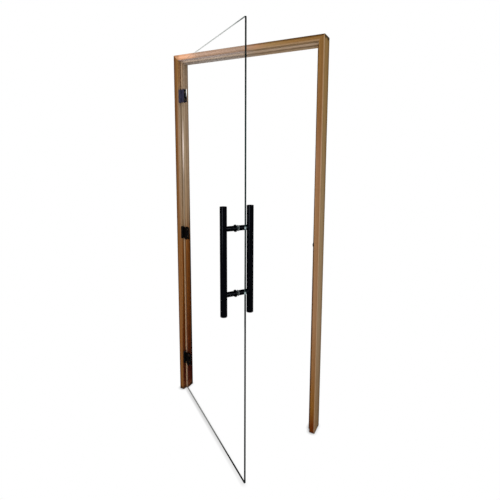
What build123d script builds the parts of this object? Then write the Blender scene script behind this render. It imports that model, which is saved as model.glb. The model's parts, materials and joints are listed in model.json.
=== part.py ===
"""A frameless glass door in its rebated timber frame, standing open on three offset pivot hinges.

Millimetres, +Z up. The origin is the centre of the hinge jamb's foot: +X runs along the frame to the
strike jamb and +Y runs from the front face to the back. The door opens towards -Y.
"""

import os
from math import cos, radians, sin, sqrt

from build123d import *

os.makedirs("parts", exist_ok=True)

# Timber frame: two jambs and a head of one rebated section, mitred at the corners
frame_width = 915.0
frame_height = 2108.0
frame_depth = 83.0
face_width = 30.0  # front face of each member
stop_width = 12.0  # how far the stop stands in past the front face
rebate_depth = 26.0  # front face to stop
arris_radius = 1.5

# Corner screws, driven through the jambs into the ends of the head
corner_screw_radius = 2.5
corner_screw_head = 5.0
corner_screw_length = 75.0

# Glass pane
open_angle = 35.5  # degrees from closed
glass_thickness = 8.0
glass_corner_radius = 3.0
glass_arris = 0.8
floor_gap = 8.0
head_gap = 6.0
strike_gap = 6.5
leaf_gap = 1.0  # edge of the glass to the hinge leaf

# Clearances shared by all fits
running_clearance = 0.05  # pins, studs and screws in their holes
seat_clearance = 0.1  # bushes in glass, fittings let into timber

# Hinges
hinge_height = 75.0
upper_hinge_distance = 200.0  # top edge of the glass to the upper hinge's middle
lower_hinge_distance = 216.0  # bottom edge of the glass to the lower hinge's middle
pivot_inset = 9.5  # rebate's side to the pivot axis
pivot_setback = 4.5  # front face to the pivot axis
knuckle_radius = 6.0
pin_radius = 3.0
pin_head_radius = 4.8
pin_head_height = 1.8
washer_thickness = 1.0
end_play = 0.2
leaf_thickness = 3.0
leaf_width = 24.5
leaf_setback = 0.5  # front face to the leaf's front edge
leaf_corner_radius = 2.0
tab_thickness = 6.0
leaf_screw_radius = 2.25
leaf_screw_head = 4.5
leaf_screw_length = 24.0
leaf_screw_spacing = 27.0
leaf_screw_setback = 17.0  # front face to the screws
outer_plate_offset = 5.0  # pivot axis to the outer plate's front
outer_plate_thickness = 5.0
inner_plate_thickness = 4.5
barrel_clearance = 1.0
stop_clearance = 1.5
plate_reach = 53.5  # pivot axis to the plates' free edge
plate_corner_radius = 4.0
plate_bevel = 0.8
gasket_thickness = 1.0
gasket_inset = 1.5
clamp_reach = 30.0  # pivot axis to the clamp screws
clamp_spacing = 40.0
clamp_hole_radius = 7.0  # holes in the glass
clamp_screw_radius = 3.0
clamp_screw_head = 6.0
clamp_screw_tip = 2.4
clamp_thread = 3.5  # depth of the thread in the outer plate

# Pull handle: a tube on two posts each side of the glass
handle_height = 1050.0  # floor to the grip's middle
handle_setback = 84.0  # free edge of the glass to the posts
handle_centres = 300.0
grip_radius = 16.0
grip_wall = 1.5
grip_length = 500.0
grip_standoff = 66.0  # middle of the glass to the grip's axis
post_radius = 12.0
cap_flange = 2.0
cap_edge = 1.2
cap_plug_length = 12.0
collar_radius = 16.5
collar_length = 7.0
collar_edge = 1.2
glass_washer_radius = 14.0
glass_washer_thickness = 1.0
handle_hole_radius = 8.0
stud_radius = 4.0
stud_grip = 20.0  # length of stud in each post

# Roller catch, let into the strike jamb
catch_height = 1059.0
roller_radius = 5.5
roller_end_radius = 3.6
roller_length = 16.0
roller_protrusion = 9.5  # rebate's side to the roller's nose
roller_glass_gap = 0.35  # to the closed glass
roller_side_gap = 0.2
axle_radius = 1.5
slide_clearance = 0.3
cheek_thickness = 2.2
cheek_width = 8.0
plunger_thickness = 4.0
plunger_shoulder = 1.2
catch_travel = 5.0
spigot_radius = 2.4
spigot_length = 2.0
spring_radius = 3.4
spring_wire_radius = 0.4
spring_turns = 5
spring_solid_length = 4.5
housing_wall = 1.2
catch_plate_thickness = 2.0
catch_plate_width = 17.0
catch_plate_height = 50.0
catch_plate_corner = 3.0
catch_screw_radius = 1.75
catch_screw_head = 3.5
catch_screw_length = 18.0
catch_screw_spacing = 39.0

# Screws
wood_screw_tip = 0.4  # radius at the point
countersink_angle = 90
socket_share = 0.42  # hexagon socket's radius, as a share of the head's radius
socket_depth_share = 0.35  # socket's depth, as a share of the head's radius

# Frame places
member_thickness = face_width + stop_width
wall_x = -member_thickness / 2
front_y = -frame_depth / 2
back_y = frame_depth / 2
rebate_x = wall_x + face_width
stop_edge_x = wall_x + member_thickness
stop_y = front_y + rebate_depth
strike_wall_x = wall_x + frame_width
strike_rebate_x = strike_wall_x - face_width

# Door places: a distance d along the door from the pivot, a depth behind the pivot, and a height
pivot_x = rebate_x + pivot_inset
pivot_y = front_y + pivot_setback
pivot = Vector(pivot_x, pivot_y, 0)
along_door = Vector(cos(radians(open_angle)), -sin(radians(open_angle)), 0)
into_room = Vector(sin(radians(open_angle)), cos(radians(open_angle)), 0)
door_plan = Plane(origin=pivot, x_dir=along_door, z_dir=(0, 0, 1))
door_front = Plane(origin=pivot, x_dir=along_door, z_dir=-into_room)
outward = Axis(pivot, -into_room)

outer_plate_back = outer_plate_offset + outer_plate_thickness
glass_front = outer_plate_back + gasket_thickness
glass_back = glass_front + glass_thickness
glass_middle = (glass_front + glass_back) / 2
inner_plate_front = glass_back + gasket_thickness
inner_plate_back = inner_plate_front + inner_plate_thickness
glass_start = leaf_thickness + leaf_gap - pivot_inset
glass_end = strike_rebate_x - strike_gap - pivot_x
glass_bottom = floor_gap
glass_top = frame_height - face_width - head_gap
glass_mid_z = (glass_bottom + glass_top) / 2
lower_hinge_z = glass_bottom + lower_hinge_distance
upper_hinge_z = glass_top - upper_hinge_distance
hinge_levels = {
    "lower": lower_hinge_z,
    "middle": (lower_hinge_z + upper_hinge_z) / 2,
    "upper": upper_hinge_z,
}
handle_d = glass_end - handle_setback
handle_levels = [handle_height - handle_centres / 2, handle_height + handle_centres / 2]


def door_point(d, depth, z):
    return pivot + along_door * d + into_room * depth + Vector(0, 0, z)


def facing_out(d, depth, z):
    """A plane at a place on the door, facing the front: its x runs along the door and its y up."""
    return Plane(origin=door_point(d, depth, z), x_dir=along_door, z_dir=-into_room)


def facing_in(d, depth, z):
    """The same place, facing the back: its x runs towards the hinges."""
    return Plane(origin=door_point(d, depth, z), x_dir=-along_door, z_dir=into_room)


def save(builder, name):
    """Label a finished piece and write its STEP file."""
    builder.part.label = name
    export_step(builder.part, f"parts/{name}.step")


def countersunk_screw(radius, head_radius, length, tip_radius):
    """One countersunk socket screw pointing down -Z, the top of its head at the origin."""
    tip_height = radius - tip_radius
    with BuildPart() as screw:
        with BuildSketch(Plane.XZ):
            with BuildLine():
                Polyline(
                    (0, 0),
                    (head_radius, 0),
                    (radius, radius - head_radius),
                    (radius, tip_height - length),
                    (tip_radius, -length),
                    (0, -length),
                    close=True,
                )
            make_face()
        revolve(axis=Axis.Z)
        with BuildSketch(Plane.XY):
            RegularPolygon(radius=head_radius * socket_share, side_count=6)
        extrude(amount=-head_radius * socket_depth_share, mode=Mode.SUBTRACT)
    return screw.part


def ring(plane, outer_radius, inner_radius, length):
    """A plain ring standing on a plane, its axis along the plane's normal."""
    with BuildPart() as tube:
        with BuildSketch(plane):
            Circle(outer_radius)
            Circle(inner_radius, mode=Mode.SUBTRACT)
        extrude(amount=length)
    return tube.part


def rebated_section(plane):
    """Section of a frame member from its outer front corner: x into the opening, y to the back."""
    inner_corner = (face_width, rebate_depth)
    with BuildSketch(plane) as section:
        with BuildLine():
            Polyline(
                (0, 0),
                (face_width, 0),
                inner_corner,
                (member_thickness, rebate_depth),
                (member_thickness, frame_depth),
                (0, frame_depth),
                close=True,
            )
        make_face()
        fillet(section.vertices().sort_by_distance(inner_corner)[1:], radius=arris_radius)
    return section.sketch


hinge_section_plane = Plane(origin=(wall_x, front_y, 0), x_dir=(1, 0, 0), z_dir=(0, 0, 1))
strike_section_plane = Plane(origin=(strike_wall_x, front_y, 0), x_dir=(-1, 0, 0), z_dir=(0, 0, -1))
head_section_plane = Plane(origin=(wall_x, front_y, frame_height), x_dir=(0, 0, -1), z_dir=(1, 0, 0))
hinge_mitre = Plane(origin=(wall_x, 0, frame_height), z_dir=(1, 0, 1))
strike_mitre = Plane(origin=(strike_wall_x, 0, frame_height), z_dir=(-1, 0, 1))

corner_screw_z = frame_height - face_width / 2
corner_screw_rows = [front_y + rebate_depth / 2, (stop_y + back_y) / 2]
hinge_corner_seats = [
    Plane(origin=(wall_x, y, corner_screw_z), z_dir=(-1, 0, 0)) for y in corner_screw_rows
]
strike_corner_seats = [
    Plane(origin=(strike_wall_x, y, corner_screw_z), z_dir=(1, 0, 0)) for y in corner_screw_rows
]
corner_seats = hinge_corner_seats + strike_corner_seats
corner_hole_radius = corner_screw_radius + running_clearance
corner_hole_depth = corner_screw_length + seat_clearance
corner_sink_radius = corner_screw_head + running_clearance

leaf_face_x = rebate_x + leaf_thickness
leaf_screw_y = front_y + leaf_screw_setback
leaf_hole_radius = leaf_screw_radius + running_clearance


def leaf_screw_seats(hinge_z):
    """Planes at the three screw heads of one hinge leaf, facing the opening."""
    levels = [hinge_z - leaf_screw_spacing, hinge_z, hinge_z + leaf_screw_spacing]
    return [Plane(origin=(leaf_face_x, leaf_screw_y, z), z_dir=(1, 0, 0)) for z in levels]


with BuildPart() as hinge_jamb:
    extrude(rebated_section(hinge_section_plane), amount=frame_height)
    split(bisect_by=hinge_mitre, keep=Keep.BOTTOM)
    with Locations(*hinge_corner_seats):
        CounterSinkHole(corner_hole_radius, corner_sink_radius, corner_hole_depth, countersink_angle)
    for level in hinge_levels.values():
        with Locations(*leaf_screw_seats(level)):
            Hole(leaf_hole_radius, depth=leaf_screw_length + seat_clearance)
save(hinge_jamb, "hinge_jamb")

with BuildPart() as head_jamb:
    extrude(rebated_section(head_section_plane), amount=frame_width)
    split(bisect_by=hinge_mitre, keep=Keep.TOP)
    split(bisect_by=strike_mitre, keep=Keep.TOP)
    with Locations(*corner_seats):
        Hole(corner_hole_radius, depth=corner_hole_depth)
save(head_jamb, "head_jamb")

with BuildPart() as corner_screws:
    with Locations(*corner_seats):
        add(countersunk_screw(corner_screw_radius, corner_screw_head, corner_screw_length, wood_screw_tip))
save(corner_screws, "corner_screws")

# Catch places: the roller's flank stands just clear of the front corner of the closed glass
roller_x = strike_rebate_x - roller_protrusion + roller_radius
glass_edge_x = strike_rebate_x - strike_gap
roller_overhang = sqrt(roller_radius**2 - (roller_x - glass_edge_x) ** 2)
catch_y = pivot_y + glass_front - roller_overhang - roller_glass_gap
fork_gap = roller_length + 2 * roller_side_gap
fork_height = fork_gap + 2 * cheek_thickness
plunger_width = 2 * roller_radius
plunger_height = fork_height + 2 * plunger_shoulder
window_width = plunger_width + 2 * slide_clearance
window_height = fork_height + 2 * slide_clearance
pocket_height = plunger_height + 2 * slide_clearance
plunger_front_x = strike_rebate_x + catch_plate_thickness
plunger_back_x = plunger_front_x + plunger_thickness
spring_length = catch_travel + spring_solid_length
pocket_depth = plunger_thickness + spring_length
housing_width = window_width + 2 * housing_wall
housing_height = pocket_height + 2 * housing_wall
housing_length = pocket_depth + housing_wall
catch_face = Plane(origin=(strike_rebate_x, catch_y, catch_height), x_dir=(0, 1, 0), z_dir=(1, 0, 0))
catch_inner = catch_face.offset(catch_plate_thickness)
catch_hole_radius = catch_screw_radius + running_clearance
catch_screw_levels = [catch_height - catch_screw_spacing / 2, catch_height + catch_screw_spacing / 2]
catch_screw_seats = [
    Plane(origin=(strike_rebate_x, catch_y, z), z_dir=(-1, 0, 0)) for z in catch_screw_levels
]

with BuildPart() as strike_jamb:
    extrude(rebated_section(strike_section_plane), amount=-frame_height)
    split(bisect_by=strike_mitre, keep=Keep.BOTTOM)
    with Locations(*strike_corner_seats):
        CounterSinkHole(corner_hole_radius, corner_sink_radius, corner_hole_depth, countersink_angle)
    with BuildSketch(catch_face):
        RectangleRounded(
            catch_plate_width + 2 * seat_clearance,
            catch_plate_height + 2 * seat_clearance,
            catch_plate_corner + seat_clearance,
        )
    extrude(amount=catch_plate_thickness, mode=Mode.SUBTRACT)
    with BuildSketch(catch_inner):
        Rectangle(housing_width + 2 * seat_clearance, housing_height + 2 * seat_clearance)
    extrude(amount=housing_length + seat_clearance, mode=Mode.SUBTRACT)
    with Locations(*catch_screw_seats):
        Hole(catch_hole_radius, depth=catch_screw_length + seat_clearance)
save(strike_jamb, "strike_jamb")

# Glass pane, drilled for the clamp screws and the handle
clamp_levels = [z + side * clamp_spacing / 2 for z in hinge_levels.values() for side in (-1, 1)]

with BuildPart() as glass_pane:
    with BuildSketch(door_front.offset(-glass_back)):
        with Locations(((glass_start + glass_end) / 2, glass_mid_z)):
            RectangleRounded(glass_end - glass_start, glass_top - glass_bottom, glass_corner_radius)
        with Locations(*[(clamp_reach, z) for z in clamp_levels]):
            Circle(clamp_hole_radius, mode=Mode.SUBTRACT)
        with Locations(*[(handle_d, z) for z in handle_levels]):
            Circle(handle_hole_radius, mode=Mode.SUBTRACT)
    extrude(amount=glass_thickness)
    pane_faces = glass_pane.faces().sort_by(SortBy.AREA)[-2:]
    chamfer([edge for face in pane_faces for edge in face.outer_wire().edges()], length=glass_arris)
save(glass_pane, "glass_pane")

# Hinges, from the bottom: leaf knuckle, washer, plate knuckle, end play, washer, leaf knuckle
knuckle_height = (hinge_height - 2 * washer_thickness - end_play) / 3
lower_washer_rise = knuckle_height
plate_knuckle_rise = lower_washer_rise + washer_thickness
upper_washer_rise = plate_knuckle_rise + knuckle_height + end_play
upper_knuckle_rise = upper_washer_rise + washer_thickness
knuckle_bore = pin_radius + running_clearance
leaf_front_y = front_y + leaf_setback
outer_plate_start = knuckle_radius + barrel_clearance
inner_plate_start = stop_edge_x - pivot_x + stop_clearance
clamp_bore = clamp_screw_radius + running_clearance
clamp_length = inner_plate_thickness + 2 * gasket_thickness + glass_thickness + clamp_thread
bush_length = glass_thickness + 2 * gasket_thickness


def plate_outline(plane, start, inset):
    """Rounded outline of a clamp plate or its gasket, on a plane at the pivot and the hinge's level."""
    with BuildSketch(plane) as outline:
        with Locations(((start + plate_reach) / 2, 0)):
            plate_width = plate_reach - start - 2 * inset
            RectangleRounded(plate_width, hinge_height - 2 * inset, plate_corner_radius)
    return outline.sketch


for name, hinge_z in hinge_levels.items():
    hinge_foot = hinge_z - hinge_height / 2
    clamp_pair = [hinge_z - clamp_spacing / 2, hinge_z + clamp_spacing / 2]

    with BuildPart() as hinge_leaf:
        with BuildSketch(Plane.YZ.offset(rebate_x)):
            with Locations((leaf_front_y + leaf_width / 2, hinge_z)):
                RectangleRounded(leaf_width, hinge_height, leaf_corner_radius)
        extrude(amount=leaf_thickness)
        for rise in (0, upper_knuckle_rise):
            with BuildSketch(Plane.XY.offset(hinge_foot + rise)):
                with Locations((pivot_x, pivot_y)):
                    Circle(knuckle_radius)
                with Locations((leaf_face_x, leaf_front_y)):
                    Rectangle(pivot_x - leaf_face_x, tab_thickness, align=(Align.MIN, Align.MIN))
                with Locations((pivot_x, pivot_y)):
                    Circle(knuckle_bore, mode=Mode.SUBTRACT)
            extrude(amount=knuckle_height)
        with Locations(*leaf_screw_seats(hinge_z)):
            leaf_sink_radius = leaf_screw_head + running_clearance
            leaf_hole_depth = leaf_thickness + seat_clearance
            CounterSinkHole(leaf_hole_radius, leaf_sink_radius, leaf_hole_depth, countersink_angle)
    save(hinge_leaf, f"{name}_hinge_leaf")

    with BuildPart() as leaf_screws:
        with Locations(*leaf_screw_seats(hinge_z)):
            add(countersunk_screw(leaf_screw_radius, leaf_screw_head, leaf_screw_length, wood_screw_tip))
    save(leaf_screws, f"{name}_leaf_screws")

    with BuildPart() as hinge_pin:
        with BuildSketch(Plane.XY.offset(hinge_foot)):
            with Locations((pivot_x, pivot_y)):
                Circle(pin_radius)
        extrude(amount=hinge_height)
        with BuildSketch(Plane.XY.offset(hinge_foot + hinge_height)):
            with Locations((pivot_x, pivot_y)):
                Circle(pin_head_radius)
        extrude(amount=pin_head_height)
        fillet(hinge_pin.edges().group_by(Axis.Z)[-1], radius=pin_head_height / 2)
    save(hinge_pin, f"{name}_hinge_pin")

    with BuildPart() as thrust_washers:
        for rise in (lower_washer_rise, upper_washer_rise):
            washer_foot = Plane(origin=(pivot_x, pivot_y, hinge_foot + rise))
            add(ring(washer_foot, knuckle_radius, knuckle_bore, washer_thickness))
    save(thrust_washers, f"{name}_thrust_washers")

    # The outer plate's knuckle is cranked forward to the pivot axis
    with BuildPart() as outer_plate:
        back_plane = facing_out(0, outer_plate_back, hinge_z)
        extrude(plate_outline(back_plane, outer_plate_start, 0), amount=outer_plate_thickness)
        chamfer(outer_plate.faces().sort_by(outward)[-1].edges(), length=plate_bevel)
        with BuildSketch(door_plan.offset(hinge_foot + plate_knuckle_rise)):
            Circle(knuckle_radius)
            crank_length = outer_plate_start + plate_bevel
            Rectangle(crank_length, outer_plate_back, align=(Align.MIN, Align.MIN))
            Circle(knuckle_bore, mode=Mode.SUBTRACT)
        extrude(amount=knuckle_height)
        with Locations(*[facing_in(clamp_reach, outer_plate_back, z) for z in clamp_pair]):
            Hole(clamp_bore, depth=clamp_thread + seat_clearance)
    save(outer_plate, f"{name}_outer_plate")

    with BuildPart() as inner_plate:
        back_plane = facing_out(0, inner_plate_back, hinge_z)
        extrude(plate_outline(back_plane, inner_plate_start, 0), amount=inner_plate_thickness)
        chamfer(inner_plate.faces().sort_by(outward)[0].edges(), length=plate_bevel)
        with Locations(*[facing_in(clamp_reach, inner_plate_back, z) for z in clamp_pair]):
            clamp_sink_radius = clamp_screw_head + running_clearance
            clamp_hole_depth = inner_plate_thickness + seat_clearance
            CounterSinkHole(clamp_bore, clamp_sink_radius, clamp_hole_depth, countersink_angle)
    save(inner_plate, f"{name}_inner_plate")

    with BuildPart() as gaskets:
        for depth, start in ((glass_front, outer_plate_start), (inner_plate_front, inner_plate_start)):
            with BuildSketch(facing_out(0, depth, hinge_z)):
                add(plate_outline(Plane.XY, start, gasket_inset))
                with Locations(*[(clamp_reach, z - hinge_z) for z in clamp_pair]):
                    Circle(clamp_hole_radius, mode=Mode.SUBTRACT)
            extrude(amount=gasket_thickness)
    save(gaskets, f"{name}_gaskets")

    with BuildPart() as clamp_screws:
        with Locations(*[facing_in(clamp_reach, inner_plate_back, z) for z in clamp_pair]):
            add(countersunk_screw(clamp_screw_radius, clamp_screw_head, clamp_length, clamp_screw_tip))
    save(clamp_screws, f"{name}_clamp_screws")

    with BuildPart() as clamp_bushes:
        for z in clamp_pair:
            bush_foot = facing_out(clamp_reach, inner_plate_front, z)
            add(ring(bush_foot, clamp_hole_radius - seat_clearance, clamp_bore, bush_length))
    save(clamp_bushes, f"{name}_clamp_bushes")

# Pull handle: each side is a tube with two posts welded on, drawn together by studs through the glass
outer_post_depth = glass_front - glass_washer_thickness - collar_length
inner_post_depth = glass_back + glass_washer_thickness
tube_length = grip_length - 2 * cap_flange
tube_bore = grip_radius - grip_wall
stud_bore = stud_radius + running_clearance
grip_sides = {
    "outer": (glass_middle - grip_standoff, outer_post_depth, facing_out),
    "inner": (glass_middle + grip_standoff, inner_post_depth, facing_in),
}

for name, (axis_depth, post_depth, facing) in grip_sides.items():
    tube_foot = Plane(origin=door_point(handle_d, axis_depth, handle_height - tube_length / 2))

    with BuildPart() as grip:
        with BuildSketch(tube_foot):
            Circle(grip_radius)
        extrude(amount=tube_length)
        for z in handle_levels:
            with BuildSketch(facing(handle_d, post_depth, z)):
                Circle(post_radius)
            extrude(amount=abs(axis_depth - post_depth))
        with BuildSketch(tube_foot):
            Circle(tube_bore)
        extrude(amount=tube_length, mode=Mode.SUBTRACT)
        for z in handle_levels:
            with BuildSketch(facing(handle_d, post_depth, z)):
                Circle(stud_bore)
            extrude(amount=stud_grip + seat_clearance, mode=Mode.SUBTRACT)
    save(grip, f"{name}_grip")

    with BuildPart() as end_plugs:
        for end in (-1, 1):
            plug_place = door_point(handle_d, axis_depth, handle_height + end * tube_length / 2)
            plug_plane = Plane(origin=plug_place, z_dir=(0, 0, end))
            with BuildSketch(plug_plane):
                Circle(grip_radius)
            extrude(amount=cap_flange)
            fillet(end_plugs.edges().sort_by(Axis.Z, reverse=end < 0)[-1], radius=cap_edge)
            with BuildSketch(plug_plane):
                Circle(tube_bore - seat_clearance)
            extrude(amount=-cap_plug_length)
    save(end_plugs, f"{name}_end_plugs")

with BuildPart() as handle_collars:
    for z in handle_levels:
        collar_foot = facing_out(handle_d, outer_post_depth + collar_length, z)
        add(ring(collar_foot, collar_radius, stud_bore, collar_length))
    circles = handle_collars.edges().filter_by(GeomType.CIRCLE)
    fillet(circles.filter_by(lambda circle: circle.radius > post_radius), radius=collar_edge)
save(handle_collars, "handle_collars")

with BuildPart() as handle_washers:
    for z in handle_levels:
        for depth in (glass_front, inner_post_depth):
            washer_foot = facing_out(handle_d, depth, z)
            add(ring(washer_foot, glass_washer_radius, stud_bore, glass_washer_thickness))
save(handle_washers, "handle_washers")

with BuildPart() as handle_bushes:
    for z in handle_levels:
        bush_foot = facing_out(handle_d, glass_back, z)
        add(ring(bush_foot, handle_hole_radius - seat_clearance, stud_bore, glass_thickness))
save(handle_bushes, "handle_bushes")

with BuildPart() as handle_studs:
    for z in handle_levels:
        with BuildSketch(facing_in(handle_d, outer_post_depth - stud_grip, z)):
            Circle(stud_radius)
        extrude(amount=inner_post_depth - outer_post_depth + 2 * stud_grip)
save(handle_studs, "handle_studs")

# Roller catch
with BuildPart() as catch_plate:
    with BuildSketch(catch_face):
        RectangleRounded(catch_plate_width, catch_plate_height, catch_plate_corner)
        Rectangle(window_width, window_height, mode=Mode.SUBTRACT)
    extrude(amount=catch_plate_thickness)
    with Locations(*catch_screw_seats):
        catch_sink_radius = catch_screw_head + running_clearance
        catch_hole_depth = catch_plate_thickness + seat_clearance
        CounterSinkHole(catch_hole_radius, catch_sink_radius, catch_hole_depth, countersink_angle)
save(catch_plate, "catch_plate")

with BuildPart() as catch_screws:
    with Locations(*catch_screw_seats):
        add(countersunk_screw(catch_screw_radius, catch_screw_head, catch_screw_length, wood_screw_tip))
save(catch_screws, "catch_screws")

with BuildPart() as catch_housing:
    with BuildSketch(catch_inner):
        Rectangle(housing_width, housing_height)
    extrude(amount=housing_length)
    with BuildSketch(catch_inner):
        Rectangle(window_width, pocket_height)
    extrude(amount=pocket_depth, mode=Mode.SUBTRACT)
save(catch_housing, "catch_housing")

with BuildPart() as catch_plunger:
    with BuildSketch(catch_inner):
        Rectangle(plunger_width, plunger_height)
    extrude(amount=plunger_thickness)
    for cheek_foot in (catch_height - fork_height / 2, catch_height + fork_gap / 2):
        with BuildSketch(Plane.XY.offset(cheek_foot)):
            with Locations((roller_x, catch_y)):
                Circle(cheek_width / 2)
                Rectangle(plunger_front_x - roller_x, cheek_width, align=(Align.MIN, Align.CENTER))
                Circle(axle_radius + running_clearance, mode=Mode.SUBTRACT)
        extrude(amount=cheek_thickness)
    with BuildSketch(catch_inner.offset(plunger_thickness)):
        Circle(spigot_radius)
    extrude(amount=spigot_length)
save(catch_plunger, "catch_plunger")

with BuildPart() as catch_axle:
    with BuildSketch(Plane(origin=(roller_x, catch_y, catch_height - fork_height / 2))):
        Circle(axle_radius)
    extrude(amount=fork_height)
save(catch_axle, "catch_axle")

with BuildPart() as catch_roller:
    with BuildSketch(Plane(origin=(roller_x, catch_y, catch_height), x_dir=(1, 0, 0), z_dir=(0, -1, 0))):
        with BuildLine():
            roller_bore = axle_radius + running_clearance
            half_length = roller_length / 2
            lower_end = (roller_end_radius, -half_length)
            upper_end = (roller_end_radius, half_length)
            ThreePointArc(lower_end, (roller_radius, 0), upper_end)
            Polyline(upper_end, (roller_bore, half_length), (roller_bore, -half_length), lower_end)
        make_face()
    revolve(axis=Axis((roller_x, catch_y, 0), (0, 0, 1)))
save(catch_roller, "catch_roller")

with BuildPart() as catch_spring:
    with BuildLine() as coil:
        coil_height = spring_length - 2 * spring_wire_radius
        coil_pitch = coil_height / spring_turns
        coil_start = (plunger_back_x + spring_wire_radius, catch_y, catch_height)
        Helix(coil_pitch, coil_height, spring_radius, center=coil_start, direction=(1, 0, 0))
    with BuildSketch(Plane(origin=coil.line @ 0, z_dir=coil.line % 0)):
        Circle(spring_wire_radius)
    sweep(path=coil.line)
save(catch_spring, "catch_spring")
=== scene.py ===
# %% [markdown]
# A glass door in its timber frame
# The solids of this door come ready made: two rebated jambs and a head, a sheet of toughened glass, three
# clamp hinges, a pull handle with a grip on each side, and a roller catch. They could be modelled again here,
# but then the two models would drift apart. So we load them as they are, leave every solid where it stands,
# and spend this lesson on what they are made of: oiled timber, polished glass, black coating, steel, rubber
# and nylon.

# %% Load the door
import json
import math

import bpy
from mathutils import Matrix, Vector


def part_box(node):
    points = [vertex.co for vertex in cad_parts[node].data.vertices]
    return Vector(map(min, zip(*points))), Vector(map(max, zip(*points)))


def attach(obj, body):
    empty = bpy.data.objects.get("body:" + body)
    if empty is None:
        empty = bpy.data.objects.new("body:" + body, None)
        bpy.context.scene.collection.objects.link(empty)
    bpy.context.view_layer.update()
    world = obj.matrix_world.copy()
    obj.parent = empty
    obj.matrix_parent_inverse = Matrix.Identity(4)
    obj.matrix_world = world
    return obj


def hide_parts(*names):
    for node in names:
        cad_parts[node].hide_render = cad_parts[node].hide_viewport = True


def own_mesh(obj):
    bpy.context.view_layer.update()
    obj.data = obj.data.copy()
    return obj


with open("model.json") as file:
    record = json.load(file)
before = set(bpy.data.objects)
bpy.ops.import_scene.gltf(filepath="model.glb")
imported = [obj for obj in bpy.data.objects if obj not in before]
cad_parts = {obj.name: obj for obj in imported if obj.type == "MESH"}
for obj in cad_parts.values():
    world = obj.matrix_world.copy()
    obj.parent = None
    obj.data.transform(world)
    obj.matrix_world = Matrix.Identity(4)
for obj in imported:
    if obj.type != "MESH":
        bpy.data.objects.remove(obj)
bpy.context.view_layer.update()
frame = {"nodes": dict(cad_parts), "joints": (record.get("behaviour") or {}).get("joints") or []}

nodes = frame["nodes"]

# %% [markdown]
# The camera
# The door is seen by someone standing a little to its right, two metres off, with their eyes at one and a
# half metres. A camera could be pointed by hand until the picture looks right. It is surer to write its
# heading, tilt and roll as angles and to build the three axes from them, because each number then moves the
# picture in one way only. The lens shift stands for a picture that was cropped off centre: it slides the
# frame without bending any line.

# %% Camera
eye = Vector((1.45775, -1.93104, 1.51401))
heading, tilt, roll = (math.radians(a) for a in (27.3815, -7.1785, 0.1652))
level = Vector((math.cos(heading), math.sin(heading), 0))
ahead = Vector((-math.sin(heading) * math.cos(tilt), math.cos(heading) * math.cos(tilt), math.sin(tilt)))
upright = level.cross(ahead)
right = level * math.cos(roll) + upright * math.sin(roll)
top = upright * math.cos(roll) - level * math.sin(roll)

lens = bpy.data.cameras.new("lens")
lens.sensor_width, lens.lens = 36.0, 27.5614
lens.shift_x, lens.shift_y = 0.003746, -0.089414
camera = bpy.data.objects.new("camera", lens)
camera.matrix_world = Matrix.Translation(eye) @ Matrix((right, top, -ahead)).transposed().to_4x4()
bpy.context.scene.collection.objects.link(camera)
bpy.context.scene.camera = camera
bpy.context.scene.view_settings.view_transform = "Standard"
print("camera at", [round(v, 3) for v in eye])

# %% [markdown]
# Shader maths in Python
# A finish is a graph of nodes, and a graph that is wired by hand is hard to read. Here one small class holds
# a socket and answers to plus, minus, times and powers, so a mask can be written as an ordinary expression.
# A second class holds the material. One method of it adds any node: first the settings, then the sockets.
# The other methods are short names for the nodes that come up again and again.

# %% Sockets that can be added and multiplied
class Wire:
    """One output socket. Arithmetic on it adds Math nodes to its finish."""

    def __init__(self, finish, socket):
        self.finish, self.socket = finish, socket

    def out(self, name):
        """Another output of the same node."""
        return Wire(self.finish, self.socket.node.outputs[name])

    def maths(self, operation, *values):
        return self.finish.node("ShaderNodeMath", {"operation": operation}, dict(enumerate(values)))

    def __add__(self, other):
        return self.maths("ADD", self, other)

    def __radd__(self, other):
        return self.maths("ADD", other, self)

    def __sub__(self, other):
        return self.maths("SUBTRACT", self, other)

    def __rsub__(self, other):
        return self.maths("SUBTRACT", other, self)

    def __mul__(self, other):
        return self.maths("MULTIPLY", self, other)

    def __rmul__(self, other):
        return self.maths("MULTIPLY", other, self)

    def __pow__(self, other):
        return self.maths("POWER", self, other)

    def __rpow__(self, other):
        return self.maths("POWER", other, self)

    def __abs__(self):
        return self.maths("ABSOLUTE", self)

    def lesser(self, other):
        return self.maths("MINIMUM", self, other)

    def greater(self, other):
        return self.maths("MAXIMUM", self, other)

    def rise(self, low, high):
        """0 below low, 1 above high and a smooth step between. With low above high it falls instead."""
        span = {"Value": self, "From Min": min(low, high), "From Max": max(low, high)}
        ends = {"To Min": float(low > high), "To Max": float(low < high)}
        return self.finish.node("ShaderNodeMapRange", {"interpolation_type": "SMOOTHSTEP"}, {**span, **ends})


print("a wire answers to + - * ** abs, lesser, greater and rise")

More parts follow.
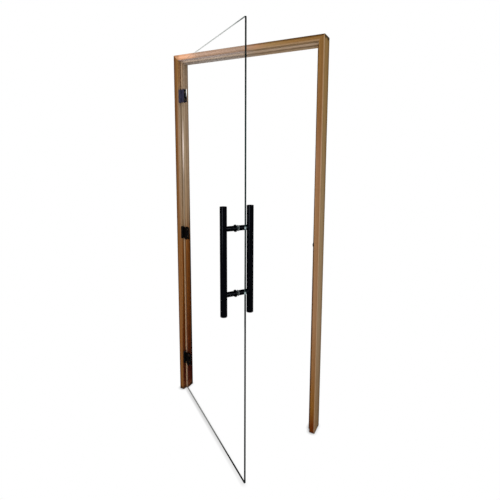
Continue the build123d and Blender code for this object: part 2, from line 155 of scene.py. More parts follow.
# %% Materials that nodes are added to
class Finish:
    """A material, or the world, that starts empty. A material is closed by one Principled shader."""

    def __init__(self, name, kind="materials"):
        self.owner = getattr(bpy.data, kind).new(name)
        self.owner.use_nodes = True
        self.tree = self.owner.node_tree
        self.tree.nodes.clear()

    def node(self, kind, settings=None, sockets=None):
        """Adds any node: its settings first, then the values or links of its sockets."""
        made = self.tree.nodes.new(kind)
        for key, value in (settings or {}).items():
            if key == "stops":
                ramp = made.color_ramp
                while len(ramp.elements) < len(value):
                    ramp.elements.new(0.5)
                for stop, (place, colour) in zip(ramp.elements, value):
                    stop.position, stop.color = place, colour
            else:
                setattr(made, key, value)
        for key, value in (sockets or {}).items():
            if isinstance(value, Wire):
                self.tree.links.new(value.socket, made.inputs[key])
            else:
                made.inputs[key].default_value = value
        return Wire(self, made.outputs[0]) if made.outputs else None

    def place(self):
        """Where a point is on the door, in metres, and its three parts."""
        here = self.node("ShaderNodeTexCoord").out("Object")
        parts = self.node("ShaderNodeSeparateXYZ", sockets={"Vector": here})
        return here, parts.out("X"), parts.out("Y"), parts.out("Z")

    def vector(self, x, y, z):
        return self.node("ShaderNodeCombineXYZ", sockets={0: x, 1: y, 2: z})

    def vectors(self, operation, first, second):
        """One number from two vectors, such as their DISTANCE."""
        return self.node("ShaderNodeVectorMath", {"operation": operation}, {0: first, 1: second}).out("Value")

    def facing(self, way):
        """How squarely the surface faces a direction: 1 straight at it, 0 across, -1 away."""
        return self.vectors("DOT_PRODUCT", self.node("ShaderNodeTexCoord").out("Normal"), way)

    def speckle(self, vector, scale, detail=2.0, roughness=0.5):
        """Noise in three dimensions, about 0.5 in the middle."""
        return self.node(
            "ShaderNodeTexNoise",
            {"noise_dimensions": "3D"},
            {"Vector": vector, "Scale": scale, "Detail": detail, "Roughness": roughness},
        )

    def mix(self, amount, first, second, way="MIX"):
        """Two colours mixed: all of the first at 0, all of the second at 1."""
        settings = {"data_type": "RGBA", "blend_type": way, "clamp_factor": True}
        return self.node("ShaderNodeMix", settings, {0: amount, 6: first, 7: second}).out(2)

    def ramp(self, value, *stops):
        """Colours along a value from 0 to 1. A stop is a place and a colour."""
        return self.node("ShaderNodeValToRGB", {"stops": stops}, {"Fac": value})

    def close(self, varying, height, depth, strength, **fixed):
        """Ends the finish: what varies over the surface, its bump, and what is the same all over."""
        relief = {"Height": height, "Strength": strength, "Distance": depth}
        varying = {**varying, "Normal": self.node("ShaderNodeBump", sockets=relief)}
        fixed = {key.replace("_", " "): value for key, value in fixed.items()}
        skin = self.node("ShaderNodeBsdfPrincipled", sockets={**varying, **fixed})
        self.node("ShaderNodeOutputMaterial", sockets={"Surface": skin})
        return self.owner


print("a finish has", ", ".join(name for name in vars(Finish) if not name.startswith("_")))

# %% Colours and who wears them
def shade(red, green, blue):
    """A colour as a paint chart gives it, 0 to 255, in the linear light that shaders use."""
    parts = [v / 255 for v in (red, green, blue)]
    return (*[v / 12.92 if v <= 0.04045 else ((v + 0.055) / 1.055) ** 2.4 for v in parts], 1.0)


def wears(finish, *names):
    """Gives a finish to the slots of the solids with these names."""
    for name in names:
        solid = nodes[name].data
        solid.materials.clear()
        solid.materials.append(finish)
    print(finish.name, "on", len(names), "pieces")


def at_hinges(*parts, hinges=("lower", "middle", "upper")):
    """The names of pieces that several hinges have."""
    return [f"{hinge}_{part}" for hinge in hinges for part in parts]


print("a middle grey is", round(shade(128, 128, 128)[0], 3), "in linear light")

# %% [markdown]
# Directions and places
# Several finishes need to know where they are on the door: the ground edge of the glass is on the hinge side,
# and the timber is darker along its arrises. The door stands open, so its own directions are turned from the
# frame's. We read the turn from the record of its hinge and take the frame's sizes from the boxes of its
# members.

# %% Directions and places
swing = next(joint for joint in frame["joints"] if joint["name"] == "door_swing")
pivot = Vector(swing["pos_m"])
open_turn = -math.radians(swing["range_deg"][0])
along_door = Vector((math.cos(open_turn), -math.sin(open_turn), 0.0))
into_room = Vector((math.sin(open_turn), math.cos(open_turn), 0.0))

hinge_low, hinge_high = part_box("hinge_jamb")
strike_low, strike_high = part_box("strike_jamb")
head_low, head_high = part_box("head_jamb")
face_width, rebate_depth = 0.030, 0.026
front, back = hinge_low.y, hinge_high.y
rebate_back = front + rebate_depth


def from_pins(finish, here, way):
    """How far a point is from the hinge pins in one direction, in metres."""
    return finish.vectors("DOT_PRODUCT", here, way) - pivot.dot(way)


print("open by", round(math.degrees(open_turn), 2), "degrees")
print("pivot", [round(v, 4) for v in pivot], "front", round(front, 4), "back", round(back, 4))

# %% [markdown]
# Oiled timber
# The frame is planed softwood with a brown oil on it. Its figure is not painted on: it is the tree's yearly
# layers, cut lengthways. A picture of grain could be wrapped round each member, but it would not meet at the
# corners. We instead place the middle of the tree, the pith, as a line beside the member. The distance from
# that line, put through a one-dimensional noise, gives layers that run as streaks along the faces and as arcs
# over the end grain, and they meet at every arris. A slow sway along the length keeps the streaks from being
# ruled lines.

# %% The timber's layers, fibres and arrises
class Timber(Finish):
    """Planed and oiled timber. run is the axis along the grain, pith the tree's middle in the other two."""

    def __init__(self, name, run, pith, corners, seed):
        super().__init__(name)
        here, x, y, z = self.place()
        self.x, self.y, self.z = x, y, z
        along, across = (z, x) if run == "z" else (x, z)
        slow = self.vector(along * 0.9 + seed, across * 5.0, y * 5.0)
        sway = self.speckle(slow, 1.0, 1.0) - 0.5
        off_across, off_depth = across - pith[0], y - pith[1]
        self.radius = (off_across * off_across + off_depth * off_depth) ** 0.5 + sway * 0.014
        self.layers = self.ring_noise(190.0, seed).rise(0.30, 0.70)
        self.bands = self.ring_noise(62.0, seed + 7.0).rise(0.30, 0.70)
        self.fibres = self.speckle(self.vector(across * 720.0, y * 720.0, along * 9.0), 1.0, 2.0)
        dashes = self.speckle(self.vector(across * 1700.0, y * 1700.0, along * 42.0), 1.0, 1.0)
        self.pores = dashes.rise(0.60, 0.72)
        self.drift = self.speckle(self.vector(along * 2.1 + seed, across * 9.0, y * 9.0), 1.0, 2.0)
        self.end = abs(self.facing((0, 0, 1) if run == "z" else (1, 0, 0))).rise(0.80, 0.95)
        self.in_front = self.faces((0, -1, 0))
        self.stop_front = self.in_front * y.rise(front + 0.012, front + 0.020)
        self.section = self.vector(across, y, 0.0)
        nearest = self.gap_to(corners[0])
        for corner in corners[1:]:
            nearest = nearest.lesser(self.gap_to(corner))
        self.arris = nearest.rise(0.0030, 0.0006)
        self.rubbed = nearest.rise(0.0018, 0.0004) * self.speckle(here, 95.0, 3.0).rise(0.52, 0.66)

    def ring_noise(self, layers_a_metre, seed):
        return self.node(
            "ShaderNodeTexNoise",
            {"noise_dimensions": "1D"},
            {"W": self.radius * layers_a_metre + seed, "Scale": 1.0, "Detail": 2.0, "Roughness": 0.55},
        )

    def gap_to(self, corner):
        """How far a point is from one corner of the section."""
        return self.vectors("DISTANCE", self.section, (*corner, 0.0))

    def faces(self, way):
        """1 on the faces that look one way, 0 on the others."""
        return self.facing(way).rise(0.4, 0.8)

    def grained(self, colour, strength=1.0):
        """Dark late wood and pale early wood, as streaks over a colour."""
        tone = 0.5 + (self.bands * 0.52 + self.layers * 0.30 + self.fibres * 0.30 - 0.56) * strength
        dark = self.mix(1.0, colour, (0.50, 0.41, 0.30, 1.0), "MULTIPLY")
        pale = self.mix(1.0, colour, (1.42, 1.48, 1.58, 1.0), "MULTIPLY")
        return self.mix(tone, dark, pale)

    def oil(self, colour):
        """Pores, arrises, rubbed corners and end grain over a colour, then the oiled skin."""
        colour = self.mix(self.pores * 0.30, colour, shade(58, 33, 14))
        colour = self.mix(self.arris * 0.30, colour, shade(62, 38, 18))
        colour = self.mix(self.rubbed * 0.45, colour, shade(190, 160, 122))
        colour = self.mix(self.end * 0.55, colour, shade(70, 42, 20))
        height = self.layers * 0.5 + self.fibres * 0.4 - self.pores * 0.9
        rough = 0.50 + self.fibres * 0.16 + self.pores * 0.15 - self.layers * 0.08
        varying = {"Base Color": colour, "Roughness": rough}
        return self.close(varying, height, depth=0.0005, strength=0.35, Specular_IOR_Level=0.03)


print("timber adds", ", ".join(name for name in vars(Timber) if not name.startswith("_")))

# %% The corners of a member
def section_corners(outer, inner, stop):
    """Across the member and through its depth: the corners of outer face, rebate side and stop edge."""
    across = (outer, inner, inner, stop, stop, outer)
    return list(zip(across, (front, front, rebate_back, rebate_back, back, back)))


hinge_section = section_corners(hinge_low.x, hinge_low.x + face_width, hinge_high.x)
print("section of the hinge jamb", [(round(a, 3), round(b, 3)) for a, b in hinge_section])

# %% [markdown]
# The hinge jamb
# This upright carries the door. Its outer wood is a warm tan with a pale streak high up on the front. On the
# side that faces the doorway the upper half is greyer and lighter, partly its tint and partly painted light,
# except for a brown patch at the top of the rebate. All of it could be one tint, but the greyer side is what
# sets the two faces apart.

# %% The hinge jamb's outer wood
jamb = Timber("oiled_timber_hinge_jamb", "z", (0.034, 0.055), hinge_section, seed=3.0)
to_doorway = jamb.faces((1, 0, 0))
high_up = (jamb.z + jamb.drift * 0.2).rise(1.00, 1.50)
colour = jamb.mix(high_up, shade(148, 100, 54), shade(140, 98, 57))
pale_streak = jamb.in_front * (jamb.x + jamb.drift * 0.004).rise(-0.001, 0.006) * high_up
streak_tone = jamb.mix(jamb.z.rise(1.78, 2.00), shade(170, 138, 108), shade(172, 130, 76))
colour = jamb.mix(pale_streak * 0.85, colour, streak_tone)
# painted light: the doorway side's upper half is lighter as well as greyer
grey_and_lit_tone = jamb.ramp(
    jamb.z * 0.5, (0.50, shade(142, 112, 80)), (0.75, shade(158, 136, 110)), (1.0, shade(146, 126, 104))
)
brown_top = jamb.y.rise(rebate_back + 0.002, rebate_back - 0.004) * jamb.z.rise(1.82, 2.00)
grey = to_doorway * (jamb.z + jamb.drift * 0.08).rise(1.02, 1.16) * (0.95 - brown_top * 0.85)
outer_wood = jamb.mix(grey, colour, grey_and_lit_tone)
print(len(jamb.tree.nodes), "nodes so far")

# %% [markdown]
# The red heart, as painted shade
# Lower down the wood is painted a darker red brown: painted shade, laid out as the red heart of the tree. A
# height gradient could paint it, but a cone round the pith, wider towards the foot, gives it for nothing and
# keeps to the layers. The layers also push its upper end up and down, so the dark wood ends in ragged
# streaks, as a heart does in a real board. The edges come last: oil gathers there, the stop's front is
# painted lighter, which is painted light, and the wood is darker at the foot.

# %% The hinge jamb's heart of painted shade, and its edges
# painted shade: the wood darkens and reddens towards the foot, laid out as a heart round the pith
ragged = jamb.z + (jamb.bands * 0.6 + jamb.fibres * 0.4 - 0.5) * 0.24
heart_shade_reach = 0.012 + ragged.rise(1.30, 1.02) * 0.080 + jamb.z.rise(0.85, 0.35) * 0.0083
heart_shade = (heart_shade_reach - jamb.radius).rise(-0.0024, 0.0016) * ragged.rise(1.14, 0.96)
heart_shade_tone = jamb.ramp(
    jamb.z, (0.0, shade(104, 62, 34)), (0.05, shade(72, 26, 9)), (0.12, shade(58, 13, 3)),
    (0.35, shade(82, 35, 4)), (0.60, shade(101, 53, 8)), (1.0, shade(118, 69, 24)),
)
colour = jamb.grained(jamb.mix(heart_shade, outer_wood, heart_shade_tone))
left_edge = jamb.x.rise(hinge_low.x + 0.010, hinge_low.x + 0.004) * jamb.in_front
left_tone = jamb.mix(jamb.z.rise(0.10, 0.03), shade(82, 44, 10), shade(30, 12, 2))
colour = jamb.mix(left_edge * 0.85, colour, left_tone)
back_edge = jamb.y.rise(back - 0.019, back - 0.009) * to_doorway * (0.90 - high_up * 0.40)
colour = jamb.mix(back_edge, colour, jamb.mix(high_up, shade(10, 1, 0), shade(84, 66, 48)))
# darker towards the foot along the front's outer edge
darker_front_foot = jamb.x.rise(hinge_low.x + 0.014, hinge_low.x + 0.006) * jamb.in_front * jamb.z.rise(0.30, 0.05)
colour = jamb.mix(darker_front_foot * 0.45, colour, shade(74, 32, 4))
# painted light: the stop's front is painted much paler than the wood around it
stop_painted_light = jamb.mix(high_up, shade(236, 196, 148), shade(200, 176, 146))
colour = jamb.mix(jamb.stop_front * 0.9, colour, stop_painted_light)
# darker at the very foot
colour = jamb.mix(jamb.z.rise(0.024, 0.008) * 0.75, colour, shade(34, 18, 6))
wears(jamb.oil(colour), "hinge_jamb")

# %% [markdown]
# The strike jamb
# The other upright shows its front face and its outer side. The front is orange brown and turns to a deeper
# red brown near the floor, and the outer side is a duller olive brown, because the oil went on thinner where
# it will be hidden. The arris between them is a pale line. That line could be a strip of its own, but the
# distance from the section's corner draws it just as well. The stop stands back from the front; it and the
# front's inner edge beside it are painted dark, which is painted shade where the front shadows them.

# %% The strike jamb's timber
strike_rebate = strike_high.x - face_width
strike_section = section_corners(strike_high.x, strike_rebate, strike_low.x)
post = Timber("oiled_timber_strike_jamb", "z", (0.955, -0.100), strike_section, seed=11.0)
outer_side = post.faces((1, 0, 0))
height = (post.z + post.drift * 0.16 - 0.08) * 0.5
orange = post.ramp(
    height, (0.02, shade(96, 42, 2)), (0.065, shade(123, 80, 27)), (0.12, shade(127, 86, 42)),
    (0.20, shade(132, 94, 58)), (0.30, shade(144, 107, 74)), (0.42, shade(147, 110, 77)),
    (0.65, shade(145, 107, 72)), (0.76, shade(145, 105, 73)), (0.85, shade(133, 93, 55)),
    (1.0, shade(131, 95, 50)),
)
olive = post.ramp(
    height, (0.0, shade(126, 98, 66)), (0.30, shade(144, 120, 90)), (0.60, shade(142, 118, 84)),
    (0.85, shade(136, 108, 66)), (1.0, shade(136, 106, 62)),
)
colour = post.grained(post.mix(outer_side, orange, olive), 0.75)
# a pale line along the arris between the front and the outer side
pale_arris = post.gap_to((strike_high.x, front)).rise(0.0075, 0.0025)
colour = post.mix(pale_arris * 0.48, colour, shade(178, 152, 122))
back_edge = post.y.rise(back - 0.026, back - 0.006) * outer_side
colour = post.mix(back_edge * 0.62, colour, shade(88, 70, 36))
# painted shade: the stop's front and the front's inner edge beside it are painted dark
inner_edge_shade = post.x.rise(strike_rebate + 0.009, strike_rebate + 0.003) * post.in_front
inner_edge_shade = inner_edge_shade * post.z.rise(1.30, 0.80)
colour = post.mix((post.stop_front + inner_edge_shade) * 0.62, colour, shade(78, 46, 20))
# darker at the very foot
colour = post.mix(post.z.rise(0.014, 0.003) * 0.6, colour, shade(46, 30, 22))
top_end = post.z.rise(strike_high.z - 0.020, strike_high.z - 0.006) * outer_side
colour = post.mix(top_end * 0.8, colour, shade(34, 25, 9))
wears(post.oil(colour), "strike_jamb")

# %% [markdown]
# The head
# The top member lies on its side, so its grain runs along the doorway. Its hinge end is a clear salmon pink,
# where the board was cut from the sapwood. Past that it is a greyer pink, and the far end is the same brown
# as the strike jamb. Three materials could meet at seams. One row of colours along the length has none, with a
# second row for the faces behind the front, over the same layers as before. That second row, on the faces
# underneath, is painted lighter, and the rebate's underside and the stop's front lighter still: painted light.

# %% The head's colours along its length
head_under = head_high.z - face_width
head_section = section_corners(head_high.z, head_under, head_low.z)
board = Timber("oiled_timber_head", "x", (2.205, 0.040), head_section, seed=23.0)
underneath = board.faces((0, 0, -1))
length = board.x + board.drift * 0.08 - 0.04
brown_end = length.rise(0.42, 0.54)
salmon = board.ramp(
    length, (0.0, shade(232, 171, 130)), (0.085, shade(226, 174, 140)), (0.135, shade(178, 147, 125)),
    (0.26, shade(174, 143, 121)), (0.43, shade(160, 134, 115)), (0.52, shade(164, 122, 90)),
    (0.60, shade(146, 115, 74)), (0.75, shade(132, 97, 54)), (0.90, shade(126, 91, 47)),
)
# painted light: a lighter row of colours for the faces underneath
underside_lit_tone = board.ramp(
    length, (0.0, shade(152, 136, 122)), (0.24, shade(160, 150, 141)), (0.40, shade(154, 140, 128)),
    (0.55, shade(158, 133, 105)), (0.75, shade(158, 133, 104)), (0.90, shade(164, 138, 106)),
)
colour = board.mix(underneath, salmon, underside_lit_tone)
# painted light: the rebate's underside is painted paler still
soffit = underneath * board.y.rise(rebate_back + 0.002, rebate_back - 0.004)
colour = board.mix(soffit, colour, board.mix(brown_end, shade(190, 172, 164), shade(172, 144, 110)))
hinge_end = board.in_front * board.x.rise(0.026, 0.008)
colour = board.mix(hinge_end * 0.75, colour, shade(176, 126, 88))
# painted light: the stop's front is painted paler still
stop_painted_light = board.mix(0.50 - brown_end * 0.15, underside_lit_tone, shade(226, 206, 184))
colour = board.grained(board.mix(board.stop_front, colour, stop_painted_light), 0.8)
print("head", round(head_high.x - head_low.x, 3), "m long")

# %% The head's edges
top_edge = board.z.rise(head_high.z - 0.011, head_high.z - 0.004) * board.in_front * brown_end
colour = board.mix(top_edge * (0.55 + length.rise(0.60, 0.85) * 0.35), colour, shade(70, 44, 14))
under_front = board.y.rise(rebate_back + 0.020, rebate_back + 0.006) * underneath
colour = board.mix(under_front * brown_end * 0.35, colour, shade(84, 58, 32))
low_edge = board.gap_to((head_under, front)).rise(0.012, 0.004) * board.in_front * brown_end
colour = board.mix(low_edge * 0.45, colour, shade(184, 154, 122))
wears(board.oil(colour), "head_jamb")

# %% [markdown]
# Toughened glass
# The leaf is a clear sheet eight millimetres thick. Clear glass hides nothing: through its faces one sees the
# room, and what shows the sheet is its edge, where light has come a long way through faintly green glass. A
# true refracting material would spend most of its samples on that edge. Instead the faces are left clear, and
# the edges are solid and take their colour from where they are. So we first measure how far a point is from
# the hinge pins, along the leaf and through it, and which of the edges it lies on.

# %% Where a point is on the glass
leaf_reach, sheet_front = 0.839, 0.011
glass = Finish("clear_toughened_glass")
here, x, y, z = glass.place()
reach, depth = from_pins(glass, here, along_door), from_pins(glass, here, into_room)
edge = abs(glass.facing(into_room)).rise(0.985, 0.80)
upright_edge = abs(glass.facing(along_door)).rise(0.3, 0.65)
hinge_side = upright_edge * reach.rise(0.12, 0.06)
upper_half = z.rise(1.0, 1.1)
streaks = glass.speckle(glass.vector(reach * 60.0, z * 2.0, y * 60.0), 1.0, 2.0)
print("free edge", leaf_reach, "m from the pins")

# %% [markdown]
# The edges of the glass
# The free edge is a dark teal that deepens towards the floor, with a pale glint at each of the handle's
# posts, which are seen in it. The foot goes from grey to black along the leaf and the top from white to grey.
# One row of colours for each edge is enough. A tint by depth of glass would need the path of each ray.

# %% The free edge, the foot and the top
free_edge = glass.ramp(
    z * 0.5, (0.0, shade(0, 1, 1)), (0.40, shade(0, 7, 7)), (0.56, shade(8, 27, 26)),
    (0.80, shade(19, 40, 38)), (0.93, shade(11, 24, 22)), (1.0, shade(3, 10, 9)),
)
free_edge = glass.mix(z.rise(2.015, 2.055), free_edge, shade(2, 6, 5))
glint_middle, glint_apart = 1.0702, 0.144
from_glint = abs(abs(z - glint_middle) - glint_apart)
free_edge = glass.mix(from_glint.rise(0.0075, 0.0030), free_edge, shade(142, 157, 159))
foot_edge = glass.ramp(
    reach, (0.0, shade(140, 141, 139)), (0.35, shade(134, 136, 134)), (0.52, shade(104, 106, 104)),
    (0.64, shade(40, 44, 42)), (0.72, shade(2, 6, 5)),
)
top_edge = glass.ramp(
    reach, (0.0, shade(226, 228, 226)), (0.70, shade(206, 210, 208)), (0.80, shade(116, 123, 121))
)
rim = glass.mix(upper_half, foot_edge, top_edge)
rim = glass.mix(upright_edge, rim, glass.mix(streaks * 0.06, free_edge, shade(84, 94, 92)))
print("glints at", round(glint_middle - glint_apart, 3), "and", round(glint_middle + glint_apart, 3), "m")

# %% [markdown]
# The hinge side of the glass
# The edge beside the hinges is ground, not polished. It is pale and takes on the tint of the timber next to
# it, and its far half is darker, because there the jamb itself is seen in it. A mirror-like edge would find
# the jamb by itself, but it would be too sharp for ground glass, so a second row of colours stands for it.

# %% The ground edge
ground_edge = glass.ramp(
    z * 0.5, (0.0, shade(162, 130, 112)), (0.20, shade(166, 130, 104)), (0.40, shade(158, 130, 102)),
    (0.55, shade(157, 137, 113)), (0.68, shade(166, 150, 132)), (0.79, shade(242, 228, 218)),
    (0.88, shade(160, 142, 118)), (1.0, shade(190, 160, 132)),
)
timber_seen = glass.ramp(
    z * 0.5, (0.0, shade(50, 16, 6)), (0.25, shade(78, 40, 12)), (0.50, shade(104, 72, 42)),
    (0.60, shade(128, 108, 84)), (0.70, shade(128, 110, 88)), (0.79, shade(232, 216, 202)),
    (0.88, shade(146, 128, 104)), (1.0, shade(140, 114, 88)),
)
far_half = depth.rise(sheet_front + 0.0016, sheet_front + 0.0038)
ground_edge = glass.mix(far_half * 0.8, ground_edge, timber_seen)
rim = glass.mix(hinge_side, rim, glass.mix(streaks * 0.2, ground_edge, shade(150, 128, 106)))
print("ground edge starts", sheet_front, "m behind the pins")

# %% [markdown]
# The faces of the glass
# The faces have a film that shows only where they are seen at a slant. Low down a narrow dark strip runs
# beside the free edge, which is the edge itself seen through the face, darker where the grip's foot is behind
# it. At the top near the hinges the edge is polished so clear that the timber behind it shows through. A
# glossy coat over the whole face could stand for the film, but it would leave a haze on all that is behind.

# %% The faces, and the glass as a whole
film = glass.speckle(here, 7.0, 3.0)
face = glass.mix(film, shade(176, 196, 190), shade(206, 220, 216))
slant = glass.node("ShaderNodeLayerWeight", sockets={"Blend": 0.5}).out("Facing")
film_seen = slant.rise(0.78, 1.0) * (0.05 + film * 0.08)
grip_foot = z.rise(0.75, 0.79) * z.rise(1.02, 0.95)
strip = z.rise(1.30, 0.70) * 0.62 + z.rise(0.55, 0.15) * 0.26 + grip_foot * 0.34
beside_edge = reach.rise(leaf_reach - 0.0045, leaf_reach - 0.001) * strip
polished = (1.0 - upright_edge) * upper_half * reach.rise(0.236, 0.205)
rim = glass.mix(polished * 0.85, rim, shade(196, 158, 132))
solid = (edge * (1.0 - polished * 0.62)).greater(beside_edge)
varying = {
    "Base Color": glass.mix(edge, glass.mix(beside_edge, face, shade(4, 9, 8)), rim),
    "Roughness": 0.03 + edge * 0.45 + film * 0.03,
    "Alpha": film_seen + solid * (1.0 - film_seen),
}
clear = glass.close(varying, streaks * edge, depth=0.0002, strength=0.2, IOR=1.5, Specular_IOR_Level=0.02)
wears(clear, "glass_pane")

# %% [markdown]
# Black coating
# Hinges, handle and catch are steel with a satin black powder coat. A coat like that is never one black: it
# has a fine orange-peel texture, a slightly bluer sheen where it is thick, and it goes thin and grey on
# corners that are touched. Corners could be found with a costly bevel node. These plates follow the door's
# own directions, so a corner is simply a place whose normal leaves all three of them.

# %% The coating
class BlackCoat(Finish):
    """Satin black powder coat: the colour of its hollows and crests, and how rough it is."""

    def __init__(self, name, body, sheen, rough):
        super().__init__(name)
        self.here, _, _, self.z = self.place()
        self.peel = self.speckle(self.here, 900.0, 2.0)
        self.cloud = self.speckle(self.here, 38.0, 3.0, 0.6)
        self.rough = rough + self.cloud * 0.12 + self.peel * 0.08
        turns = [abs(self.facing(way)) for way in (along_door, into_room, (0, 0, 1))]
        square = turns[0].greater(turns[1]).greater(turns[2])
        self.corner = square.rise(0.97, 0.80) * self.speckle(self.here, 160.0, 3.0).rise(0.50, 0.68)
        self.colour = self.mix(self.cloud * 0.75 + self.peel * 0.25, body, sheen)

    def cured(self, wear, relief=0.3, **fixed):
        """Worn corners, then the skin, with more or less of its texture."""
        colour = self.mix(self.corner * wear, self.colour, shade(88, 88, 90))
        varying = {"Base Color": colour, "Roughness": self.rough + self.corner * 0.10}
        return self.close(varying, self.peel + self.cloud * 0.3, depth=0.00006, strength=relief, **fixed)


plates = ("hinge_leaf", "outer_plate", "inner_plate")
deep_black = BlackCoat("black_coat_hinges", shade(1, 1, 1), shade(6, 6, 7), rough=0.40)
wears(deep_black.cured(wear=0.10, Specular_IOR_Level=0.12), *at_hinges(*plates, hinges=("lower", "middle")))

# %% [markdown]
# The upper hinge
# The upper hinge's black is painted a bluish charcoal, a painted reflection of the bright studio in its
# plates. The narrow outer end of its plates is left deep black, and the inner one has a painted glint, near
# white, at the top. A second hinge material could be modelled from nothing, but these are masks over the
# same coat.

# %% The upper hinge's coat
# painted reflection: the bluish charcoal stands for the bright studio seen in the plates; corners wear as
# usual
reflection_and_wear_coat = BlackCoat("black_coat_upper_hinge", shade(46, 42, 58), shade(61, 62, 90), rough=0.48)
far_end = from_pins(reflection_and_wear_coat, reflection_and_wear_coat.here, along_door).rise(0.034, 0.046)
plate_end = reflection_and_wear_coat.facing(along_door).rise(0.6, 0.9) * far_end
# the plates' outer ends are left deep black, without the painted reflection
reflection_and_wear_coat.colour = reflection_and_wear_coat.mix(plate_end, reflection_and_wear_coat.colour, shade(4, 5, 4))
plate_low, plate_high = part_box("upper_inner_plate")
plate_middle = (plate_low.z + plate_high.z) / 2
inner_plate = from_pins(reflection_and_wear_coat, reflection_and_wear_coat.here, into_room).rise(sheet_front + 0.0075, sheet_front + 0.0085)
# painted highlight: a near-white glint on the top of the inner plate's end
painted_glint = plate_end * inner_plate * reflection_and_wear_coat.z.rise(plate_middle - 0.016, plate_middle + 0.018)
reflection_and_wear_coat.colour = reflection_and_wear_coat.mix(painted_glint, reflection_and_wear_coat.colour, shade(252, 252, 244))
wears(reflection_and_wear_coat.cured(wear=0.25, Specular_IOR_Level=0.25), *at_hinges(*plates, hinges=("upper",)))

# %% [markdown]
# The handle's coat
# The pull handle is coated like the hinges, but hands keep it smooth. A finer texture and lower roughness let
# the tubes carry a narrow light line along their length, as a polished black tube does. The line could be
# painted on, but then it would not move when the door swings. The collars and the end plugs take the same
# coat. The catch has a browner black, with its corners worn by the glass.

# %% The handle and the catch
grip_black = BlackCoat("black_coat_handle", shade(0, 0, 2), shade(3, 3, 6), rough=0.11)
cool_gloss = (0.78, 0.84, 1.0, 1.0)
wears(
    grip_black.cured(wear=0.0, relief=0.05, Specular_IOR_Level=0.22, Specular_Tint=cool_gloss),
    "outer_grip", "inner_grip", "outer_end_plugs", "inner_end_plugs", "handle_collars",
)
catch_black = BlackCoat("black_coat_catch", shade(22, 19, 17), shade(44, 40, 36), rough=0.40)
worn = catch_black.cured(wear=0.45, Specular_IOR_Level=0.25)
wears(worn, "catch_plate", "catch_housing", "catch_plunger")

# %% [markdown]
# Steel, rubber, nylon and clear plastic
# The small pieces hold the large ones together and mostly hide. Screws and pins are blackened steel with
# turning marks, which are rings round each axis; a noise that is squashed along one direction is near enough
# at that size. Gaskets are matt rubber with a bloom on it, the roller and the thrust washers are moulded
# nylon, and the bushes and washers that keep metal off the glass are a milky plastic.

# %% Blackened steel
steel = Finish("blackened_steel")
here, x, y, z = steel.place()
turned = steel.speckle(steel.vector(x * 260.0, y * 260.0, z * 2600.0), 1.0, 2.0)
patina = steel.speckle(here, 220.0, 3.0, 0.6)
bare = patina.rise(0.56, 0.70)
colour = steel.mix(patina, shade(34, 34, 38), shade(62, 62, 66))
varying = {
    "Base Color": steel.mix(bare * 0.6, colour, shade(120, 120, 122)),
    "Roughness": 0.34 + turned * 0.16 + patina * 0.1,
    "Metallic": 0.55 + bare * 0.35,
}
wears(
    steel.close(varying, turned, depth=0.00005, strength=0.3),
    *at_hinges("leaf_screws", "hinge_pin", "clamp_screws"),
    "corner_screws", "handle_studs", "catch_screws", "catch_axle", "catch_spring",
)

# %% Rubber
rubber = Finish("gasket_rubber")
here = rubber.place()[0]
bloom = rubber.speckle(here, 130.0, 4.0, 0.6)
grit = rubber.speckle(here, 1400.0, 1.0)
colour = rubber.mix(bloom.rise(0.42, 0.75) * 0.6, shade(14, 14, 15), shade(48, 47, 46))
varying = {"Base Color": colour, "Roughness": 0.70 + bloom * 0.2}
matt = rubber.close(varying, grit, depth=0.00008, strength=0.4, Specular_IOR_Level=0.2)
wears(matt, *at_hinges("gaskets"))

# %% Nylon
nylon = Finish("moulded_nylon")
here, x, y, z = nylon.place()
flow = nylon.speckle(nylon.vector(x * 90.0, y * 90.0, z * 30.0), 1.0, 3.0)
scuff = nylon.speckle(here, 420.0, 2.0).rise(0.56, 0.72)
colour = nylon.mix(flow, shade(16, 16, 18), shade(34, 33, 34))
colour = nylon.mix(scuff * 0.4, colour, shade(84, 82, 80))
varying = {"Base Color": colour, "Roughness": 0.42 + flow * 0.12 + scuff * 0.12}
moulded = nylon.close(varying, flow, depth=0.00006, strength=0.3, Specular_IOR_Level=0.25)
wears(moulded, "catch_roller", *at_hinges("thrust_washers"))

# %% Milky plastic
milky = Finish("milky_plastic")
haze = milky.speckle(milky.place()[0], 170.0, 3.0)
colour = milky.mix(haze, shade(122, 130, 130), shade(166, 173, 173))
varying = {"Base Color": colour, "Roughness": 0.24 + haze * 0.16}
clouded = milky.close(varying, haze, depth=0.00005, strength=0.2, IOR=1.49)
wears(clouded, "handle_bushes", "handle_washers", *at_hinges("clamp_bushes"))

# %% [markdown]
# The catch's spring
# Behind the roller a small coil spring pushes the plunger out. The spring is wound again here as a piece of
# its own, from the box of the solid that it stands for, and that solid is hidden. A curve with a round bevel
# would wind it too, but a row of rings gives a mesh directly.

# %% Wind the spring
coil_low, coil_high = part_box("catch_spring")
wire_radius, turns, steps, sides = 0.0004, 5, 24, 8
coil_length = coil_high.x - coil_low.x
coil_middle = (coil_low + coil_high) / 2
coil_radius = (coil_high.z - coil_low.z) / 2 - wire_radius
rings = turns * steps
places = []
for ring in range(rings + 1):
    share = ring / rings
    angle = 2 * math.pi * turns * share
    outward = Vector((0.0, math.cos(angle), math.sin(angle)))
    start_x = coil_low.x + wire_radius + (coil_length - 2 * wire_radius) * share
    start = Vector((start_x, coil_middle.y, coil_middle.z))
    for side in range(sides):
        turn = 2 * math.pi * side / sides
        lean = outward * (coil_radius + wire_radius * math.cos(turn))
        places.append(start + (lean + Vector((wire_radius * math.sin(turn), 0.0, 0.0))))
skin = []
for first in range(0, rings * sides, sides):
    for side in range(sides):
        following = (side + 1) % sides
        skin.append((first + side, first + sides + side, first + sides + following, first + following))
skin += [tuple(range(sides)), tuple(rings * sides + side for side in reversed(range(sides)))]
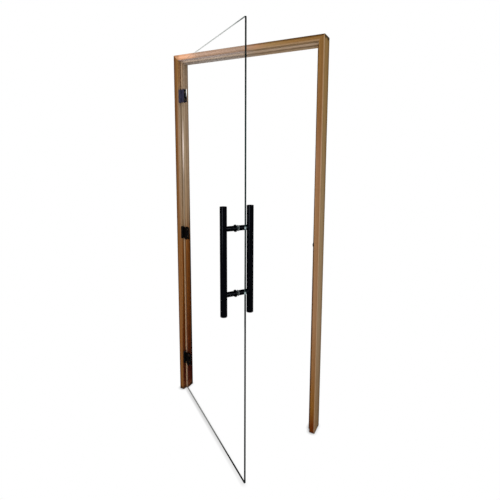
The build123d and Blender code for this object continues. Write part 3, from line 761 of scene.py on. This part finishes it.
print(turns, "turns from", rings + 1, "rings,", len(skin), "faces")

# %% The spring as a piece of its own
wound = bpy.data.meshes.new("catch_coil")
wound.from_pydata(places, [], skin)
wound.polygons.foreach_set("use_smooth", [True] * len(wound.polygons))
wound.materials.append(steel.owner)
coil = bpy.data.objects.new("catch_coil", wound)
bpy.context.scene.collection.objects.link(coil)
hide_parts("catch_spring")
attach(coil, "frame")
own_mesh(coil)

# %% [markdown]
# The floor
# The door stands in a white studio, with only a soft dark line where it meets the ground. A white floor under
# lamps would come out grey or burnt, so what the camera sees of it is a white glow, darkened by ambient
# occlusion: rays that leave the floor and soon hit something. Those rays lean to the back and to the right,
# as the studio's light does, so the shading lies on the near side, and it is weaker under the free end of the
# leaf, which is furthest out in the light. For the light that falls on the door the floor is plain pale
# paint, and in a gloss it is dark, because a photographer stands black boards round a black handle to keep it
# black.

# %% Floor
def seen_and_gloss(finish):
    """1 for what the camera sees, directly or through glass, and 1 for what is seen in a gloss."""
    path = finish.node("ShaderNodeLightPath")
    return path.out("Is Camera Ray").greater(path.out("Is Transmission Ray")), path.out("Is Glossy Ray")


studio = Finish("studio_floor")
lean = Vector((0.34, 0.26, 0.90)).normalized()
shade_reach = 0.020
open_sky = studio.node(
    "ShaderNodeAmbientOcclusion", {"samples": 16}, {"Distance": shade_reach, "Normal": studio.vector(*lean)}
).out("AO")
seen, gloss = seen_and_gloss(studio)
y = studio.place()[2]
shaded = (1.0 - open_sky) * (0.55 + y.rise(-0.50, -0.15) * 0.45)
glow = studio.mix(shaded, shade(255, 255, 255), shade(84, 84, 84))
glow = studio.mix(gloss, glow, shade(0, 0, 0))
white = studio.node("ShaderNodeEmission", sockets={"Color": glow, "Strength": 1.0})
paint = studio.node("ShaderNodeBsdfDiffuse", sockets={"Color": (0.84, 0.84, 0.84, 1.0)})
both = studio.node("ShaderNodeMixShader", sockets={0: seen.greater(gloss * 0.9), 1: paint, 2: white})
studio.node("ShaderNodeOutputMaterial", sockets={"Surface": both})

half = 12.0
sheet = bpy.data.meshes.new("studio_floor")
corners = [(-half, -half, 0), (half, -half, 0), (half, half, 0), (-half, half, 0)]
sheet.from_pydata(corners, [], [(0, 1, 2, 3)])
sheet.materials.append(studio.owner)
floor = bpy.data.objects.new("studio_floor", sheet)
bpy.context.scene.collection.objects.link(floor)
print("floor", 2 * half, "metres wide")

# %% [markdown]
# The light
# A large soft lamp stands to the front and right and a weaker one to the front and left, both above the door,
# and a small softbox low in front draws the light line on the grips. The white walls of the studio give the
# rest. A single hard lamp would draw shadows that the real studio does not have. The levels are chosen so
# that a face turned to the viewer comes out about as its colour is written.

# %% Walls and lamps
walls = Finish("studio_walls", "worlds")
bpy.context.scene.world = walls.owner
seen, gloss = seen_and_gloss(walls)
strength = 0.84 + seen * 0.16 - gloss * 0.825
back_drop = walls.node("ShaderNodeBackground", sockets={"Color": shade(255, 255, 255), "Strength": strength})
walls.node("ShaderNodeOutputWorld", sockets={"Surface": back_drop})


def soft_lamp(name, place, aim, size, watts):
    """A square area lamp that looks at a point."""
    lamp = bpy.data.lights.new(name, "AREA")
    lamp.shape, lamp.size, lamp.size_y, lamp.energy = "RECTANGLE", size, size, watts
    holder = bpy.data.objects.new(name, lamp)
    holder.location = place
    holder.rotation_mode = "QUATERNION"
    holder.rotation_quaternion = (Vector(aim) - Vector(place)).to_track_quat("-Z", "Y")
    bpy.context.scene.collection.objects.link(holder)
    print(name, watts, "W")


door_middle, grips = (0.45, 0.0, 1.1), (0.64, -0.46, 1.05)
soft_lamp("key_lamp", (4.2, -2.2, 2.6), door_middle, size=2.2, watts=54.0)
soft_lamp("fill_lamp", (-2.0, -4.0, 2.4), door_middle, size=2.2, watts=20.0)
soft_lamp("low_softbox", (0.70, -3.5, 1.0), grips, size=0.9, watts=9.0)

# %% [markdown]
# Sizes
# Nothing was added outside the solids, so the box of what is shown has to be the box that was loaded.
